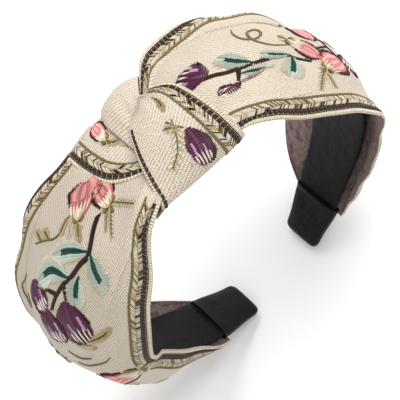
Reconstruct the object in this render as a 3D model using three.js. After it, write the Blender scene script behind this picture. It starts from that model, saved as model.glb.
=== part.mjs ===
// Knotted headband. A flat sprung plastic core runs from tip to tip, lined inside with black
// satin. A wide jacquard ribbon lies over each arm of the core and curls in at its edges. The
// two ribbons cross in a knot at the crown, and a satin sleeve closes each tip.
//
// Millimetres, +Z up. The left arm is on -X, the right arm on +X, and the front edge on -Y.
// The origin is the middle of the flat inner face at the crown, where the hoop rests on a head.
//
// The hoop flexes. It is cut across at two flexure lines, one each side of the knot, so that
// each arm can swing about its own line.
import * as THREE from 'three';

// ---- Driving dimensions ----------------------------------------------------------------

// The hoop's line, measured along the core from the crown (0) to a tip.
const hoopHalfLength = 185;
const tipHeading = THREE.MathUtils.degToRad(139.6);
const crownTurn = 1.135;
const sideTurn = 0.466;

// The plastic core.
const coreWidth = 32;
const coreThickness = 1.8;
const coreSeamWidth = 18.6;
const coreTipWidth = 14.4;
const taperStart = 0.44;

// The satin lining, a shallow channel that the core lies in.
const liningThickness = 0.8;
const liningWallHeight = 0.9;

// The satin sleeve on each tip.
const sleeveLength = 21;
const sleeveWall = 0.9;
const sleeveSeamThickness = 5.4;
const sleeveTipThickness = 4.4;
const tipRounding = 3;

// The jacquard ribbon.
const ribbonWidth = 72;
const ribbonThickness = 1.2;
const ribbonEdgeClearance = 0.6;
const frontCurl = 1;
const backCurl = 2.2;

// The knot.
const knotThickness = 2.4;
const frontWrapRise = 12.4;
const backWrapRise = 8.2;
const lowerWrapRise = 4.6;
const innerBandThickness = 1.6;
const innerBandLength = 28;
const restFaceLength = 8;

// The flexure lines, and the room that moving neighbours keep there.
const flexureReach = 22;
const flexureGap = 0.6;
const ribbonSwingRoom = 4.4;

// The gap between pieces that touch.
const seatGap = 0.35;

// ---- The hoop's line -------------------------------------------------------------------

// The angle through which the core has turned from the crown to a distance along it. It bends
// most at the sides and straightens towards the tips.
function heading(distance) {
  const share = distance / hoopHalfLength;
  const tipTurn = 1 - crownTurn - sideTurn;
  return tipHeading * (crownTurn * share + sideTurn * share ** 3 + tipTurn * share ** 5);
}

function dropAndReach(distance) {
  const slices = 160;
  const step = distance / slices;
  let reach = 0;
  let drop = 0;
  for (let slice = 0; slice < slices; slice += 1) {
    const angle = heading((slice + 0.5) * step);
    reach += Math.cos(angle) * step;
    drop += Math.sin(angle) * step;
  }
  return { reach, drop };
}

// The inner band's flat middle facet is the rest face, so the core's line stands above it.
const coreUnderside = coreThickness / 2;
const liningUnderside = coreUnderside + seatGap + liningThickness;
const bandUnderside = liningUnderside + seatGap + innerBandThickness;
const restFaceEnd = restFaceLength / 2;
const coreHeight = dropAndReach(restFaceEnd).drop + bandUnderside * Math.cos(heading(restFaceEnd));

// Returns a function that places a point of a cross-section at a distance along the hoop.
// A section's first number runs from front to back (Y), and its second outwards from the core.
function hoopPlace(side, distance) {
  const { reach, drop } = dropAndReach(Math.abs(distance));
  const way = side * Math.sign(distance || 1);
  const angle = heading(Math.abs(distance));
  return (across, out) => new THREE.Vector3(
    way * (reach + Math.sin(angle) * out),
    across,
    coreHeight - drop + Math.cos(angle) * out,
  );
}

// ---- Widths along the hoop -------------------------------------------------------------

// The value at a distance, on a smooth line through [distance, value] stops. It stays level
// before the first stop and after the last.
function smoothLine(distance, stops) {
  const last = stops.length - 1;
  if (distance <= stops[0][0]) return stops[0][1];
  if (distance >= stops[last][0]) return stops[last][1];
  const slope = (index) => {
    const [before, low] = stops[Math.max(index - 1, 0)];
    const [after, high] = stops[Math.min(index + 1, last)];
    return (high - low) / (after - before);
  };
  const next = stops.findIndex(([stop]) => distance < stop);
  const [start, from] = stops[next - 1];
  const [end, to] = stops[next];
  const span = end - start;
  const share = (distance - start) / span;
  const blend = share * share * (3 - 2 * share);
  const leave = share * (1 - share) ** 2 * slope(next - 1) * span;
  const arrive = share * share * (share - 1) * slope(next) * span;
  return THREE.MathUtils.lerp(from, to, blend) + leave + arrive;
}

const seamAt = hoopHalfLength - sleeveLength;
const coreTipAt = hoopHalfLength - sleeveWall - seatGap;
const tipStraightEnd = hoopHalfLength - tipRounding;

// How far the tip's round corners draw its edges in.
function tipInset(distance) {
  const share = Math.max(distance - tipStraightEnd, 0) / tipRounding;
  return tipRounding * (1 - Math.sqrt(1 - (0.9 * share) ** 2));
}

function coreHalfWidth(distance) {
  const reach = Math.abs(distance);
  const taper = THREE.MathUtils.smoothstep(reach, taperStart * hoopHalfLength, seamAt);
  const tipTaper = THREE.MathUtils.smoothstep(reach, seamAt, tipStraightEnd);
  const toSeam = THREE.MathUtils.lerp(coreWidth / 2, coreSeamWidth / 2, taper);
  const narrowing = ((coreSeamWidth - coreTipWidth) / 2) * tipTaper;
  return toSeam - narrowing - tipInset(reach);
}

function liningHalfWidth(distance) {
  return coreHalfWidth(distance) + seatGap + liningThickness;
}

// ---- Making a closed body from a row of cross-sections -----------------------------------

// Each section is { outline, place }: a loop of 2D points, and the function that places them.
function loft(sections) {
  const positions = [];
  const triangles = [];
  const count = sections[0].outline.length;
  for (const { outline, place } of sections) {
    for (const [across, out] of outline) {
      positions.push(...place(across, out).toArray());
    }
  }
  for (let ring = 0; ring < sections.length - 1; ring += 1) {
    for (let corner = 0; corner < count; corner += 1) {
      const next = (corner + 1) % count;
      const near = ring * count;
      const far = near + count;
      triangles.push(near + corner, near + next, far + next);
      triangles.push(near + corner, far + next, far + corner);
    }
  }
  const lastRing = (sections.length - 1) * count;
  capTriangles(sections[0].outline).forEach(([a, b, c]) => triangles.push(a, c, b));
  capTriangles(sections[sections.length - 1].outline).forEach(([a, b, c]) => {
    triangles.push(lastRing + a, lastRing + b, lastRing + c);
  });
  return facingOut(positions, triangles);
}

function capTriangles(outline) {
  const corners = outline.map(([across, out]) => new THREE.Vector2(across, out));
  const faces = THREE.ShapeUtils.triangulateShape(corners, []);
  return THREE.ShapeUtils.isClockWise(corners) ? faces.map(([a, b, c]) => [a, c, b]) : faces;
}

// Builds the geometry, turned inside out if its volume came out negative.
function facingOut(positions, triangles) {
  const corner = (index) => new THREE.Vector3().fromArray(positions, index * 3);
  let volume = 0;
  for (let index = 0; index < triangles.length; index += 3) {
    const a = corner(triangles[index]);
    const b = corner(triangles[index + 1]);
    const c = corner(triangles[index + 2]);
    volume += a.dot(b.cross(c));
  }
  const geometry = new THREE.BufferGeometry();
  geometry.setAttribute('position', new THREE.Float32BufferAttribute(positions, 3));
  geometry.setIndex(volume > 0 ? triangles : triangles.reverse());
  geometry.computeVertexNormals();
  return geometry;
}

// The distances of a lofted piece's sections, evenly spaced from end to end.
function spaced(from, to, steps) {
  return Array.from({ length: steps + 1 }, (_, index) => from + ((to - from) * index) / steps);
}

// ---- Cross-sections ----------------------------------------------------------------------

// A flat bar's outline with its four corners cut at 45 degrees. It starts on the flat top.
function barOutline(halfWidth, bottom, top, corner) {
  return [
    [-halfWidth + corner, top], [-halfWidth, top - corner],
    [-halfWidth, bottom + corner], [-halfWidth + corner, bottom],
    [halfWidth - corner, bottom], [halfWidth, bottom + corner],
    [halfWidth, top - corner], [halfWidth - corner, top],
  ];
}

// The lining's channel: a floor under the core and a low wall outside each of its edges.
function channelOutline(distance) {
  const outer = liningHalfWidth(distance);
  const inner = outer - liningThickness;
  const floorBottom = -liningUnderside;
  const floorTop = floorBottom + liningThickness;
  const wallTop = floorTop + liningWallHeight;
  return [
    [-outer, wallTop], [-outer, floorBottom], [outer, floorBottom], [outer, wallTop],
    [inner, wallTop], [inner, floorTop], [-inner, floorTop], [-inner, wallTop],
  ];
}

// A sheet's outline: the centre line, thickened evenly to both sides.
function sheetOutline(centreLine, thickness) {
  const top = [];
  const bottom = [];
  centreLine.forEach((point, index) => {
    const before = centreLine[Math.max(index - 1, 0)];
    const after = centreLine[Math.min(index + 1, centreLine.length - 1)];
    const along = new THREE.Vector2().subVectors(after, before).normalize();
    const half = thickness / 2;
    top.push([point.x - along.y * half, point.y + along.x * half]);
    bottom.push([point.x + along.y * half, point.y - along.x * half]);
  });
  return [...top, ...bottom.reverse()];
}

// ---- Ribbon ------------------------------------------------------------------------------

// How the ribbon lies at stations along an arm. at is a share of the way to the tip sleeve's
// seam. rises are its heights over its seat on the core: at the front shoulder, between that and
// the middle, at the middle, and the same behind. front and back are its two overhangs past the
// lining: reach is a share of the spare width there, slope is the angle at the shoulder, in
// degrees inwards, and curl is how far it turns inwards from there, in degrees per millimetre.
const wingStations = {
  left: [
    {
      at: 0.128,
      rises: [2, 3.8, 4.6, 3.8, 2],
      front: { reach: 0.28, slope: 30, curl: 4 },
      back: { reach: 0.28, slope: 10, curl: 12 },
    },
    {
      at: 0.183,
      rises: [1.1, 3.4, 4.8, 4, 2],
      front: { reach: 0.51, slope: 34, curl: 1.8 },
      back: { reach: 0.45, slope: -4, curl: 10.5 },
    },
    {
      at: 0.256,
      rises: [0.8, 3.5, 5.4, 4.8, 2.4],
      front: { reach: 0.68, slope: 36, curl: 1.2 },
      back: { reach: 0.57, slope: -2, curl: 9.7 },
    },
    {
      at: 0.329,
      rises: [0.6, 3.8, 6.2, 5.6, 2.8],
      front: { reach: 0.82, slope: 40, curl: 0.7 },
      back: { reach: 0.65, slope: 2, curl: 9 },
    },
    {
      at: 0.402,
      rises: [0.4, 4, 6.6, 6, 3.2],
      front: { reach: 0.88, slope: 42, curl: 1 },
      back: { reach: 0.74, slope: -6, curl: 8.9 },
    },
    {
      at: 0.488,
      rises: [0.2, 4, 7.2, 7, 4.8],
      front: { reach: 0.96, slope: 42, curl: 1.9 },
      back: { reach: 0.74, slope: -6, curl: 8.9 },
    },
    {
      at: 0.585,
      rises: [0, 3.8, 7.4, 7.8, 6.2],
      front: { reach: 1.04, slope: 42, curl: 3.7 },
      back: { reach: 0.71, slope: -4, curl: 8.8 },
    },
    {
      at: 0.695,
      rises: [0, 3.2, 6.2, 7, 5.8],
      front: { reach: 0.93, slope: 46, curl: 4.1 },
      back: { reach: 0.65, slope: 0, curl: 8.1 },
    },
    {
      at: 0.793,
      rises: [0.2, 2.2, 4, 4.2, 2.8],
      front: { reach: 0.73, slope: 52, curl: 3.6 },
      back: { reach: 0.55, slope: 10, curl: 7.1 },
    },
    {
      at: 0.89,
      rises: [0.4, 1.4, 2.4, 2.2, 1],
      front: { reach: 0.47, slope: 60, curl: 2.9 },
      back: { reach: 0.38, slope: 35, curl: 5 },
    },
    {
      at: 0.963,
      rises: [0.4, 0.9, 1.4, 1.2, 0.4],
      front: { reach: 0.19, slope: 50, curl: 4.4 },
      back: { reach: 0.19, slope: 45, curl: 3.3 },
    },
    {
      at: 1.012,
      rises: [0.1, 0.4, 0.6, 0.4, 0.1],
      front: { reach: 0.03, slope: 40, curl: 0 },
      back: { reach: 0.03, slope: 40, curl: 0 },
    },
  ],
  right: [
    {
      at: 0.122,
      rises: [1.6, 3.4, 5, 5, 2],
      front: { reach: 0.07, slope: 25, curl: 4.2 },
      back: { reach: 0.48, slope: 14, curl: 3.1 },
    },
    {
      at: 0.171,
      rises: [1, 3.2, 5, 4.4, 1.6],
      front: { reach: 0.1, slope: 28, curl: 2.2 },
      back: { reach: 0.54, slope: 2, curl: 4 },
    },
    {
      at: 0.22,
      rises: [0.8, 3.5, 5.2, 4.6, 1.6],
      front: { reach: 0.24, slope: 32, curl: 1.9 },
      back: { reach: 0.59, slope: -6, curl: 6.3 },
    },
    {
      at: 0.287,
      rises: [0.6, 3.6, 5.6, 5.2, 1.8],
      front: { reach: 0.45, slope: 34, curl: 1.8 },
      back: { reach: 0.68, slope: -8, curl: 8.2 },
    },
    {
      at: 0.366,
      rises: [0.6, 3.8, 6, 5.6, 2],
      front: { reach: 0.57, slope: 26, curl: 0.8 },
      back: { reach: 0.71, slope: -8, curl: 8.6 },
    },
    {
      at: 0.457,
      rises: [0.6, 4, 6.2, 5.8, 2.2],
      front: { reach: 0.62, slope: 18, curl: 0.7 },
      back: { reach: 0.74, slope: -7, curl: 8.2 },
    },
    {
      at: 0.549,
      rises: [0.6, 4, 6, 5.6, 2.2],
      front: { reach: 0.64, slope: 6, curl: 0.9 },
      back: { reach: 0.73, slope: -3, curl: 6.4 },
    },
    {
      at: 0.616,
      rises: [0.6, 3.6, 5.6, 5.2, 2],
      front: { reach: 0.7, slope: 18, curl: 2.2 },
      back: { reach: 0.7, slope: 0, curl: 3.8 },
    },
    {
      at: 0.689,
      rises: [0.5, 3.2, 5, 4.6, 1.8],
      front: { reach: 0.78, slope: 28, curl: 2.1 },
      back: { reach: 0.66, slope: 2, curl: 1.8 },
    },
    {
      at: 0.78,
      rises: [0.4, 2.6, 4, 3.8, 1.4],
      front: { reach: 0.79, slope: 38, curl: 1.4 },
      back: { reach: 0.62, slope: 4, curl: 0.6 },
    },
    {
      at: 0.896,
      rises: [0.4, 1.5, 2.4, 2.2, 0.8],
      front: { reach: 0.59, slope: 44, curl: 1.6 },
      back: { reach: 0.59, slope: 5, curl: 0.5 },
    },
    {
      at: 0.963,
      rises: [0.4, 0.9, 1.4, 1.2, 0.4],
      front: { reach: 0.25, slope: 44, curl: 2.7 },
      back: { reach: 0.31, slope: 20, curl: 2 },
    },
    {
      at: 1.012,
      rises: [0.1, 0.4, 0.6, 0.4, 0.1],
      front: { reach: 0.03, slope: 40, curl: 0 },
      back: { reach: 0.03, slope: 40, curl: 0 },
    },
  ],
};

// An overhang's points from its shoulder to the ribbon's edge. way is -1 in front and 1 behind.
// It turns evenly where curlPower is 1, and mostly near its edge where curlPower is more.
function overhangPoints(way, shoulder, { reach, slope, curl }, curlPower) {
  const steps = 8;
  const step = reach / steps;
  const point = shoulder.clone();
  return spaced(0.5 / steps, 1 - 0.5 / steps, steps - 1).map((share) => {
    const angle = THREE.MathUtils.degToRad(slope + curl * reach * share ** curlPower);
    point.x += way * Math.cos(angle) * step;
    point.y -= Math.sin(angle) * step;
    return point.clone();
  });
}

function ribbonCentreLine(stations, distance) {
  const value = (pick) => {
    const stops = stations.map((station) => [station.at * seamAt, pick(station)]);
    return smoothLine(distance, stops);
  };
  const shoulder = liningHalfWidth(distance) + ribbonEdgeClearance + ribbonThickness / 2;
  const seat = coreThickness / 2 + seatGap + ribbonThickness / 2;
  const spare = ribbonWidth / 2 - shoulder;
  const overhang = (name) => ({
    reach: spare * value((station) => station[name].reach),
    slope: value((station) => station[name].slope),
    curl: value((station) => station[name].curl),
  });
  const middle = [-1, -0.55, 0, 0.55, 1].map((share, index) => (
    new THREE.Vector2(share * shoulder, seat + value((station) => station.rises[index]))
  ));
  return [
    ...overhangPoints(-1, middle[0], overhang('front'), frontCurl).reverse(),
    ...new THREE.SplineCurve(middle).getPoints(12),
    ...overhangPoints(1, middle[4], overhang('back'), backCurl),
  ];
}

function wingGeometry(side, stations) {
  const start = flexureReach + ribbonSwingRoom;
  const end = seamAt - seatGap;
  return loft(spaced(start, end, 26).map((distance) => ({
    outline: sheetOutline(ribbonCentreLine(stations, distance), ribbonThickness),
    place: hoopPlace(side, distance),
  })));
}

// ---- Core and lining -----------------------------------------------------------------------

function coreGeometry(side, distances) {
  const half = coreThickness / 2;
  return loft(distances.map((distance) => ({
    outline: barOutline(coreHalfWidth(distance), -half, half, half / 2),
    place: hoopPlace(side, distance),
  })));
}

function liningGeometry(side, from, to, steps) {
  return loft(spaced(from, to, steps).map((distance) => ({
    outline: channelOutline(distance),
    place: hoopPlace(side, distance),
  })));
}

// ---- Tip sleeve ------------------------------------------------------------------------------

// The sleeve is a sock, open at the seam. Its skin runs from the closed tip back to the seam
// outside, and from the seam to the cavity's end inside.
function sleeveGeometry(side) {
  const halfThickness = (distance) => {
    const share = (distance - seamAt) / sleeveLength;
    return THREE.MathUtils.lerp(sleeveSeamThickness, sleeveTipThickness, share) / 2;
  };
  const ring = (distance, wall) => {
    const half = halfThickness(distance) - wall;
    const halfWidth = coreHalfWidth(distance) + seatGap + sleeveWall - wall;
    return {
      outline: barOutline(halfWidth, -half, half, half * 0.4),
      place: hoopPlace(side, distance),
    };
  };
  const cavityEnd = hoopHalfLength - sleeveWall;
  const cornerMiddle = hoopHalfLength - tipRounding * 0.4;
  const outside = [...spaced(seamAt, tipStraightEnd, 3), cornerMiddle, hoopHalfLength];
  const inside = [...spaced(seamAt, tipStraightEnd, 3), cavityEnd];
  return loft([
    ...outside.reverse().map((distance) => ring(distance, 0)),
    ...inside.map((distance) => ring(distance, sleeveWall)),
  ]);
}

// ---- Knot ------------------------------------------------------------------------------------

// A wrap is a strip that leaves the knot's middle, goes over the crown's front or back edge and
// ends beside the inner band. way is -1 for the front edge and 1 for the back. turns are the
// angles of its two ends about the crown, middles the X of its centre line there, and widths its
// width there. Its middle stands proud of its sides by bulge.
function wrapGeometry({ way, rise, turns, middles, widths, bulge }) {
  const reach = liningHalfWidth(0) + 2 * seatGap + knotThickness / 2;
  const turnSteps = 14;
  const acrossSteps = 8;
  return loft(spaced(0, 1, turnSteps).map((share) => {
    const turn = THREE.MathUtils.degToRad(THREE.MathUtils.lerp(turns[0], turns[1], share));
    const spread = THREE.MathUtils.smoothstep(share, 0, 0.75);
    const middle = THREE.MathUtils.lerp(middles[0], middles[1], spread);
    const width = THREE.MathUtils.lerp(widths[0], widths[1], spread);
    const fade = Math.sin(THREE.MathUtils.clamp(turn, 0, Math.PI));
    const centreLine = spaced(-1, 1, acrossSteps).map((across) => (
      new THREE.Vector2((across * width) / 2, bulge * fade * (1 - across * across))
    ));
    const normal = new THREE.Vector2(Math.cos(turn) / reach, Math.sin(turn) / rise).normalize();
    return {
      outline: sheetOutline(centreLine, knotThickness),
      place: (across, out) => new THREE.Vector3(
        middle + across,
        way * (Math.cos(turn) * reach + normal.x * out),
        coreHeight + Math.sin(turn) * rise + normal.y * out,
      ),
    };
  }));
}

function innerBandGeometry() {
  const halfWidth = liningHalfWidth(0) - seatGap;
  const bottom = -bandUnderside;
  const top = bottom + innerBandThickness;
  const end = innerBandLength / 2;
  const middle = (end + restFaceEnd) / 2;
  const distances = [-end, -middle, -restFaceEnd, restFaceEnd, middle, end];
  return loft(distances.map((distance) => ({
    outline: barOutline(halfWidth, bottom, top, innerBandThickness / 4),
    place: hoopPlace(1, distance),
  })));
}

// ---- Materials and assembly --------------------------------------------------------------------

const finishes = {
  plastic: { color: 0x1d1c20, roughness: 0.5, metalness: 0 },
  satin: { color: 0x17161b, roughness: 0.42, metalness: 0 },
  jacquard: { color: 0xd9cab2, roughness: 0.78, metalness: 0 },
};

const headband = new THREE.Group();

function addPiece(name, finish, geometry) {
  const piece = new THREE.Mesh(geometry, new THREE.MeshStandardMaterial(finishes[finish]));
  piece.name = name;
  headband.add(piece);
}

const crownEnd = flexureReach - flexureGap / 2;
const armStart = flexureReach + flexureGap / 2;

addPiece('core_crown', 'plastic', coreGeometry(1, spaced(-crownEnd, crownEnd, 10)));
addPiece('lining_crown', 'satin', liningGeometry(1, -crownEnd, crownEnd, 10));
addPiece('knot_inner_band', 'jacquard', innerBandGeometry());
addPiece('knot_front_wrap', 'jacquard', wrapGeometry({
  way: -1, rise: frontWrapRise, turns: [118, -12], middles: [11, 6.6], widths: [11, 29], bulge: 2,
}));
addPiece('knot_back_wrap', 'jacquard', wrapGeometry({
  way: 1, rise: backWrapRise, turns: [104, -12], middles: [1, 8.2], widths: [9, 15], bulge: 1.2,
}));
addPiece('knot_lower_wrap', 'jacquard', wrapGeometry({
  way: 1, rise: lowerWrapRise, turns: [110, -12], middles: [-7, -8.8], widths: [13, 16], bulge: 0.8,
}));

for (const [side, sideName] of [[-1, 'left'], [1, 'right']]) {
  const coreRings = [...spaced(armStart, tipStraightEnd, 27), coreTipAt];
  addPiece(`core_arm_${sideName}`, 'plastic', coreGeometry(side, coreRings));
  addPiece(`lining_${sideName}`, 'satin', liningGeometry(side, armStart, seamAt - seatGap, 24));
  addPiece(`wing_${sideName}`, 'jacquard', wingGeometry(side, wingStations[sideName]));
  addPiece(`tip_sleeve_${sideName}`, 'satin', sleeveGeometry(side));
}

export default headband;
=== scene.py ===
import math
import random

import bpy
import numpy as np
from mathutils import Matrix, Vector


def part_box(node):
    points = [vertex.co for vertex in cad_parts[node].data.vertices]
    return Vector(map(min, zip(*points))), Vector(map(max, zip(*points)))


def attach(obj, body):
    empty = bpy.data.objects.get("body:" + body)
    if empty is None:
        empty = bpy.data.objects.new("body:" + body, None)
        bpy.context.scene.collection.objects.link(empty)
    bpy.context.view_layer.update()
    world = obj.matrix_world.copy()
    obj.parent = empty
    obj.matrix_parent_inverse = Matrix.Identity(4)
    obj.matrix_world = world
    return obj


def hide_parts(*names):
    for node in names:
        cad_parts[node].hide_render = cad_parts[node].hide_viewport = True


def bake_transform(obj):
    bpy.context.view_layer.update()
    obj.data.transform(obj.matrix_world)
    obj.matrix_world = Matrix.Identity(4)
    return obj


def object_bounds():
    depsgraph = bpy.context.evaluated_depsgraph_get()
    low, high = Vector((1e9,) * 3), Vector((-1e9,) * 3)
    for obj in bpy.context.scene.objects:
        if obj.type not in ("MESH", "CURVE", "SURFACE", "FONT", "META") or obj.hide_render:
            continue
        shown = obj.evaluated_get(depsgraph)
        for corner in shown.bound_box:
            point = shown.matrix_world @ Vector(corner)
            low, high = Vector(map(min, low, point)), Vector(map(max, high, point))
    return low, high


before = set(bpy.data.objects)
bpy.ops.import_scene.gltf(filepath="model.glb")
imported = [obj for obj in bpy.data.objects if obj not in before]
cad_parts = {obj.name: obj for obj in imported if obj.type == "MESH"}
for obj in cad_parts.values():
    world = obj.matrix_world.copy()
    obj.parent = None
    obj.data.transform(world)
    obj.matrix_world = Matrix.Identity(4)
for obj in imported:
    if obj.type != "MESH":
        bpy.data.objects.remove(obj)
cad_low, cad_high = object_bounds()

# Lengths below are millimetres in the CAD frame: +Z up, the left arm on -X, the front edge on -Y.
MM = 0.001

# ---- The hoop's line, as in the CAD model ----

HOOP_HALF = 185.0
TIP_HEADING = math.radians(139.6)
CROWN_TURN = 1.135
SIDE_TURN = 0.466
CORE_THICKNESS = 1.8
CORE_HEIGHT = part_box("core_crown")[1].z / MM - CORE_THICKNESS / 2
SEAM_AT = 164.0
TIP_ROUNDING = 3.0
TAPER_START = 0.44 * HOOP_HALF
CORE_HALF_CROWN = 16
CORE_HALF_SEAM = 9.3
TIP_NARROWING = 2.1
LINING_HALF_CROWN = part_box("lining_crown")[1].y / MM
LINING_HALF_SEAM = 10.45

# ---- The ribbon ----

RIBBON_WIDTH = 72.0
BORDER_WIDTH = 9.5
RIBBON_THICKNESS = 0.6
FULL_SPREAD = 48


def heading(distance):
    share = distance / HOOP_HALF
    tip_turn = 1 - CROWN_TURN - SIDE_TURN
    return TIP_HEADING * (CROWN_TURN * share + SIDE_TURN * share**3 + tip_turn * share**5)


LINE_STEP = 0.25
line_at = np.arange(0, HOOP_HALF + 10, LINE_STEP)
line_angle = heading(line_at + LINE_STEP / 2)
line_reach = np.concatenate([[0], np.cumsum(np.cos(line_angle))[:-1]]) * LINE_STEP
line_drop = np.concatenate([[0], np.cumsum(np.sin(line_angle))[:-1]]) * LINE_STEP


def hoop(side, along, across, out):
    """Points at distances along the hoop, across it (+Y) and outwards from the core's line."""
    distance = np.abs(along)
    way = side * np.where(along < 0, -1.0, 1.0)
    reach = np.interp(distance, line_at, line_reach)
    drop = np.interp(distance, line_at, line_drop)
    angle = heading(distance)
    x = way * (reach + np.sin(angle) * out)
    z = CORE_HEIGHT - drop + np.cos(angle) * out
    return np.stack([x, across + 0 * x, z], -1)


def smoothstep(value, low, high):
    share = np.clip((value - low) / (high - low), 0, 1)
    return share * share * (3 - 2 * share)


def lining_half(distance):
    taper = smoothstep(np.abs(distance), TAPER_START, SEAM_AT)
    return LINING_HALF_CROWN + (LINING_HALF_SEAM - LINING_HALF_CROWN) * taper


def core_half(distance):
    taper = smoothstep(np.abs(distance), TAPER_START, SEAM_AT)
    tip = smoothstep(np.abs(distance), SEAM_AT, HOOP_HALF - TIP_ROUNDING)
    return CORE_HALF_CROWN + (CORE_HALF_SEAM - CORE_HALF_CROWN) * taper - TIP_NARROWING * tip


def unit(vectors):
    return vectors / np.maximum(np.linalg.norm(vectors, axis=-1, keepdims=True), 1e-9)


def run_along(points):
    """The distance along a line of points from the first to each."""
    return np.concatenate([[0], np.cumsum(np.linalg.norm(np.diff(points, axis=0), axis=1))])


def smooth_line(stops, values, at):
    """Catmull-Rom line through values at stops, level beyond the two ends. values may be rows."""
    stops = np.asarray(stops, float)
    values = np.asarray(values, float)
    at = np.clip(at, stops[0], stops[-1])
    low = np.clip(np.searchsorted(stops, at, side="right") - 1, 0, len(stops) - 2)
    slope = np.gradient(values, stops, axis=0)
    span = stops[low + 1] - stops[low]
    share = (at - stops[low]) / span
    if values.ndim > 1:
        span = span[:, None]
        share = share[:, None]
    ease = share * share * (3 - 2 * share)
    leave = share * (1 - share) ** 2 * slope[low] * span
    arrive = share * share * (share - 1) * slope[low + 1] * span
    return values[low] * (1 - ease) + values[low + 1] * ease + leave + arrive


# ---- Sheets: a grid of points with a smooth place for any point of the cloth ----


class Sheet:
    """Cloth laid out as a grid. a runs along it and b across it, both in flat millimetres."""

    def __init__(self, a, b, points):
        self.a, self.b, self.points = np.asarray(a, float), np.asarray(b, float), points
        along = np.gradient(points, axis=0)
        across = np.gradient(points, axis=1)
        self.normals = unit(np.cross(along, across))
        self.handed = 1

    def flip(self):
        self.normals = -self.normals
        self.handed = -self.handed
        return self

    def _mix(self, grid, a, b):
        i = np.interp(a, self.a, np.arange(len(self.a)))
        j = np.interp(b, self.b, np.arange(len(self.b)))
        i0 = np.minimum(i.astype(int), len(self.a) - 2)
        j0 = np.minimum(j.astype(int), len(self.b) - 2)
        fi, fj = (i - i0)[..., None], (j - j0)[..., None]
        near = grid[i0, j0] * (1 - fj) + grid[i0, j0 + 1] * fj
        far = grid[i0 + 1, j0] * (1 - fj) + grid[i0 + 1, j0 + 1] * fj
        return near * (1 - fi) + far * fi

    def place(self, a, b, lift):
        """Points at (a, b), lifted off the cloth's middle surface."""
        a, b = np.broadcast_arrays(np.asarray(a, float), np.asarray(b, float))
        normal = unit(self._mix(self.normals, a, b))
        return self._mix(self.points, a, b) + normal * np.asarray(lift)[..., None]


class MeshData:
    """Vertices, faces, UVs and material numbers collected for one object."""

    def __init__(self):
        self.points, self.faces, self.uvs, self.slots = [], [], [], []
        self.count = 0

    def add(self, points, faces, uv, slot):
        faces = np.asarray(faces)
        self.points.append(np.asarray(points).reshape(-1, 3))
        self.faces.append(faces + self.count)
        self.uvs.append(np.asarray(uv).reshape(-1, 2)[faces.reshape(-1)])
        slots = slot if np.ndim(slot) else np.full(len(faces), slot)
        self.slots.append(slots)
        self.count += len(self.points[-1])

    def more_faces(self, faces, points, uv, slots):
        """Adds faces on the points that were added last."""
        self.faces.append(np.asarray(faces) + self.count - len(points))
        self.uvs.append(np.asarray(uv)[np.asarray(faces).reshape(-1)])
        self.slots.append(slots)

    def build(self, name, materials):
        mesh = bpy.data.meshes.new(name)
        points = np.concatenate(self.points) * MM
        faces = [tuple(int(v) for v in face) for group in self.faces for face in group]
        mesh.from_pydata([tuple(p) for p in points], [], faces)
        layer = mesh.uv_layers.new(name="cloth_mm")
        layer.data.foreach_set("uv", np.concatenate(self.uvs).astype(np.float32).ravel())
        mesh.polygons.foreach_set("material_index", np.concatenate(self.slots).astype(np.int32))
        mesh.polygons.foreach_set("use_smooth", np.full(len(faces), True))
        for material in materials:
            mesh.materials.append(material)
        mesh.update()
        piece = bpy.data.objects.new(name, mesh)
        bpy.context.scene.collection.objects.link(piece)
        return piece


def grid_faces(rows, columns, wrap=False):
    i, j = np.meshgrid(np.arange(rows - 1), np.arange(columns if wrap else columns - 1), indexing="ij")
    k = (j + 1) % columns
    corner = i * columns
    faces = np.stack([corner + j, corner + k, corner + columns + k, corner + columns + j], -1)
    return faces.reshape(-1, 4)


def cloth_mesh(data, sheet, thickness, face_slot=0, back_slot=1):
    """Adds a sheet as a thin closed body: its face, its reverse and the cut edges round them."""
    rows, columns = len(sheet.a), len(sheet.b)
    top = sheet.points + sheet.normals * thickness / 2
    bottom = sheet.points - sheet.normals * thickness / 2
    uv = np.stack(np.meshgrid(sheet.a, sheet.b, indexing="ij"), -1)
    ring = np.concatenate([top, bottom[:, ::-1]], 1).reshape(-1, 3)
    ring_uv = np.concatenate([uv, uv[:, ::-1]], 1).reshape(-1, 2)
    faces = grid_faces(rows, 2 * columns, wrap=True)
    column = np.tile(np.arange(2 * columns), rows - 1)
    slots = np.where((column >= columns) & (column < 2 * columns - 1), back_slot, face_slot)
    left = np.arange(columns - 1)
    first = np.stack([left, left + 1, 2 * columns - 2 - left, 2 * columns - 1 - left], -1)
    last = first[:, ::-1] + (rows - 1) * 2 * columns
    if sheet.handed > 0:
        faces = faces[:, ::-1]
    else:
        first, last = first[:, ::-1], last[:, ::-1]
    data.add(ring, faces, ring_uv, slots)
    data.more_faces(np.concatenate([first, last]), ring, ring_uv,
                    np.full(2 * (columns - 1), back_slot))
    return data


# ---- Wings ----

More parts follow.
